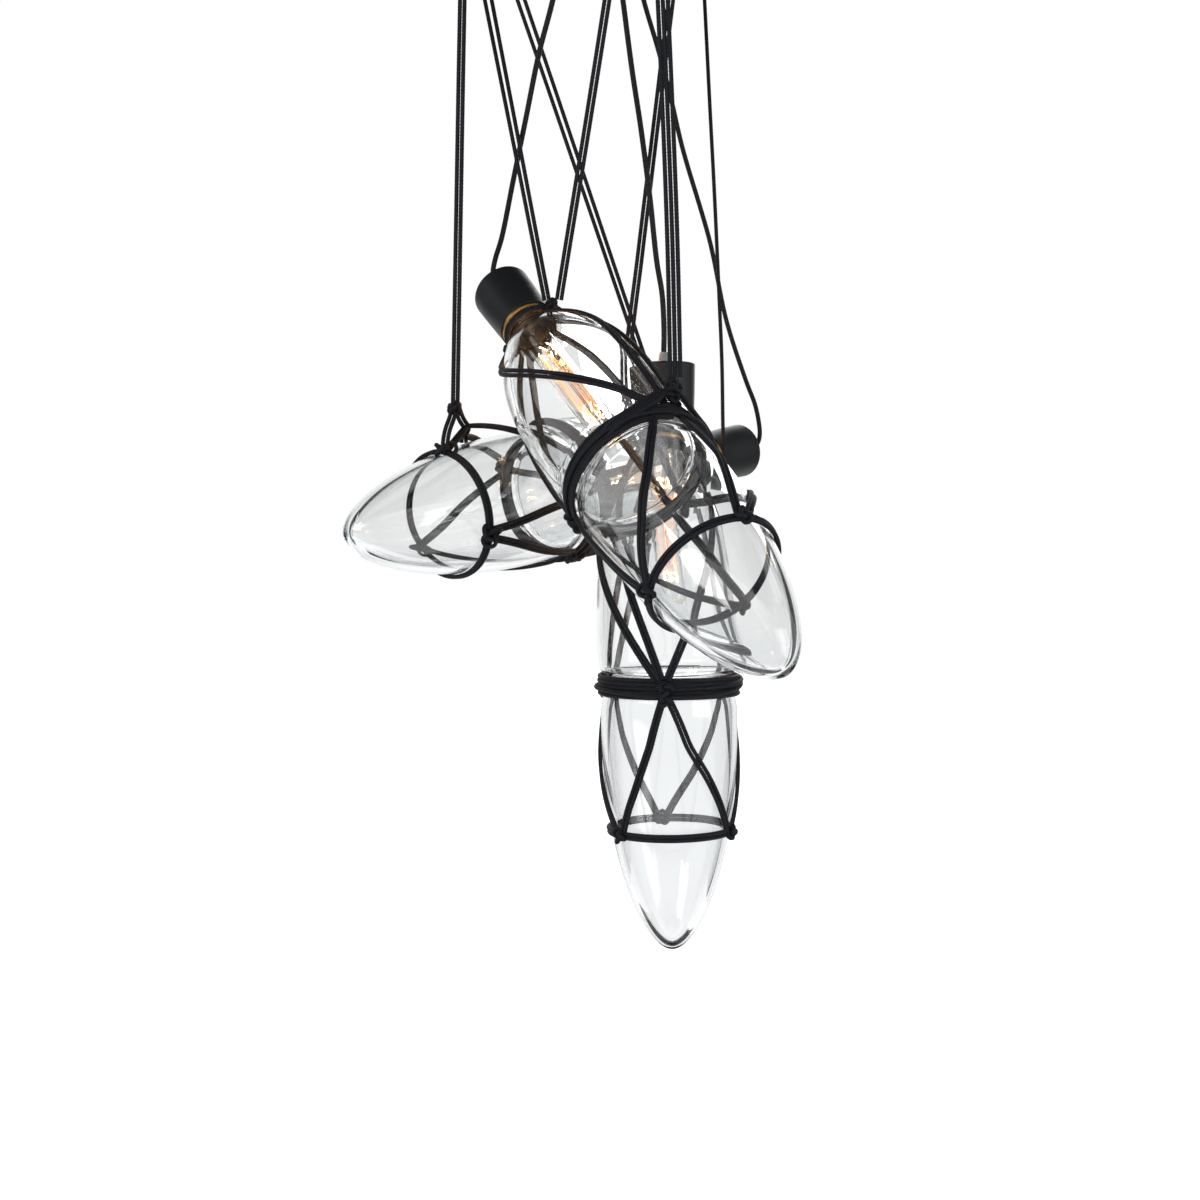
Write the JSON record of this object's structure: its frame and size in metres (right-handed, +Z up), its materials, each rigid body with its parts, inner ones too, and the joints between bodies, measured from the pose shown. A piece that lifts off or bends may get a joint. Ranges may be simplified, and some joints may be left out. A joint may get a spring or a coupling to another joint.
{
  "type": "glass pendant light",
  "caption": "Cluster pendant of clear glass bodies held in black rope nets, each with a black cap, a brass neck ring and a tubular filament bulb, hung at different leans from one round canopy.",
  "frame": {"origin": "centre of the canopy on the ceiling plane, where the bracket meets the ceiling", "axes": "+Z up into the ceiling, +Y away from the viewer of the picture, +X to the viewer's right"},
  "size_m": [0.5, 0.6472, 1.1122],
  "materials": {
    "zinc_steel": "zinc plated, dull",
    "brass": "satin, slightly toned",
    "black_metal": "satin black powder coat",
    "white_plastic": "moulded",
    "black_rubber": "matte",
    "grey_rubber": "matte",
    "black_plastic": "moulded phenolic",
    "clear_glass": "clear, blown",
    "bulb_glass": "clear, thin",
    "bulb_metal": "rolled thread",
    "filament": "glowing wire",
    "black_rope": "braided",
    "cable_sheath": "fine textile braid over the insulation"
  },
  "bodies": {
    "ceiling_canopy": {"ceiling_bracket": "zinc_steel", "earth_screw": "brass", "canopy": "black_metal", "canopy_screws": "black_metal", "terminal_block": "white_plastic", "cable_grommets": "black_rubber", "cable_grips": "white_plastic", "supply_leads": "cable_sheath"},
    "upright": {"upright_cap": "black_metal", "upright_cable_boot": "grey_rubber", "upright_lampholder": "black_plastic", "upright_socket_contacts": "brass", "upright_neck_ring": "brass", "upright_upper_glass": "clear_glass", "upright_lower_glass": "clear_glass", "upright_neck_wrap": "black_rope", "upright_waist_wrap": "black_rope", "upright_upper_net": "black_rope", "upright_lower_net": "black_rope", "upright_ropes": "black_rope", "upright_cable": "cable_sheath"},
    "upright_bulb": {"upright_bulb_base": "bulb_metal", "upright_bulb_glass": "bulb_glass", "upright_bulb_mount": "bulb_glass", "upright_filament": "filament"},
    "slant": {"slant_cap": "black_metal", "slant_cable_boot": "grey_rubber", "slant_lampholder": "black_plastic", "slant_socket_contacts": "brass", "slant_neck_ring": "brass", "slant_upper_glass": "clear_glass", "slant_lower_glass": "clear_glass", "slant_neck_wrap": "black_rope", "slant_waist_wrap": "black_rope", "slant_upper_net": "black_rope", "slant_lower_net": "black_rope", "slant_ropes": "black_rope", "slant_cable": "cable_sheath"},
    "slant_bulb": {"slant_bulb_base": "bulb_metal", "slant_bulb_glass": "bulb_glass", "slant_bulb_mount": "bulb_glass", "slant_filament": "filament"},
    "level": {"level_cap": "black_metal", "level_cable_boot": "grey_rubber", "level_lampholder": "black_plastic", "level_socket_contacts": "brass", "level_neck_ring": "brass", "level_upper_glass": "clear_glass", "level_lower_glass": "clear_glass", "level_neck_wrap": "black_rope", "level_waist_wrap": "black_rope", "level_upper_net": "black_rope", "level_lower_net": "black_rope", "level_ropes": "black_rope", "level_cable": "cable_sheath"},
    "level_bulb": {"level_bulb_base": "bulb_metal", "level_bulb_glass": "bulb_glass", "level_bulb_mount": "bulb_glass", "level_filament": "filament"}
  },
  "joints": [
    {"name": "upright_swing", "type": "hinge", "parent": "ceiling_canopy", "child": "upright", "pos_m": [-0.0165, -0.027, -0.0325], "axis": [1, 0, 0], "range_deg": [-0.1, 0.2]},
    {"name": "slant_swing", "type": "hinge", "parent": "ceiling_canopy", "child": "slant", "pos_m": [-0.04325, -0.096, -0.0325], "axis": [-0.71, 0.7042, 0], "range_deg": [-0.1, 4]},
    {"name": "level_swing", "type": "hinge", "parent": "ceiling_canopy", "child": "level", "pos_m": [-0.00825, 0.078, -0.0325], "axis": [0.7247, 0.689, 0], "range_deg": [-0.1, 4]},
    {"name": "upright_bulb_turn", "type": "hinge", "parent": "upright", "child": "upright_bulb", "pos_m": [0.06452, -0.03413, -0.55849], "axis": [0.0153, 0.0254, -0.9996], "range_deg": [0, 1890]},
    {"name": "slant_bulb_turn", "type": "hinge", "parent": "slant", "child": "slant_bulb", "pos_m": [-0.08701, 0.00436, -0.46186], "axis": [0.4261, -0.6366, -0.6428], "range_deg": [0, 1890]},
    {"name": "level_bulb_turn", "type": "hinge", "parent": "level", "child": "level_bulb", "pos_m": [0.14333, 0.23659, -0.58889], "axis": [-0.6815, -0.7032, -0.2028], "range_deg": [0, 1890]}
  ]
}
